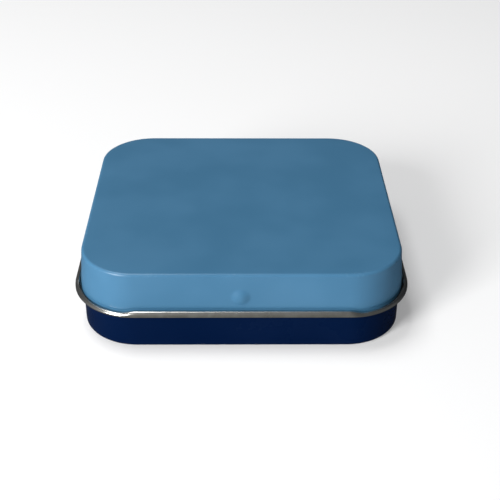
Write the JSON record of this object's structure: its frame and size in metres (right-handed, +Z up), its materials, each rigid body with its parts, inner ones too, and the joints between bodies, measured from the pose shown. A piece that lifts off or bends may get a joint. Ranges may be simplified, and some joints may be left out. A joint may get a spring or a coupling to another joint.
{
  "type": "hinged pocket tin",
  "caption": "Flat tin with rounded corners, taken to be hinged at the back: a drawn base and a shallow lacquered lid with a rolled bare metal rim and a thumb nib.",
  "frame": {"origin": "middle of the object's box in plan, at the underside of the base", "axes": "+X to the tin's right seen from the front, +Y to the hinge at the back, +Z up"},
  "size_m": [0.0624, 0.0594, 0.0154],
  "materials": {
    "base_lacquer": "satin gloss navy lacquer on tinplate",
    "bare_tinplate": "bare bright tinplate",
    "lid_lacquer": "satin light blue lacquer on tinplate"
  },
  "bodies": {
    "base": {"base_shell": "base_lacquer", "hinge_tab_left": "bare_tinplate", "hinge_tab_right": "bare_tinplate"},
    "lid": {"lid_shell": "lid_lacquer", "rolled_rim": "bare_tinplate"}
  },
  "joints": [
    {"name": "lid_hinge", "type": "hinge", "parent": "base", "child": "lid", "pos_m": [0, 0.02865, 0.00776], "axis": [-1, 0, 0], "range_deg": [0, 120]}
  ]
}
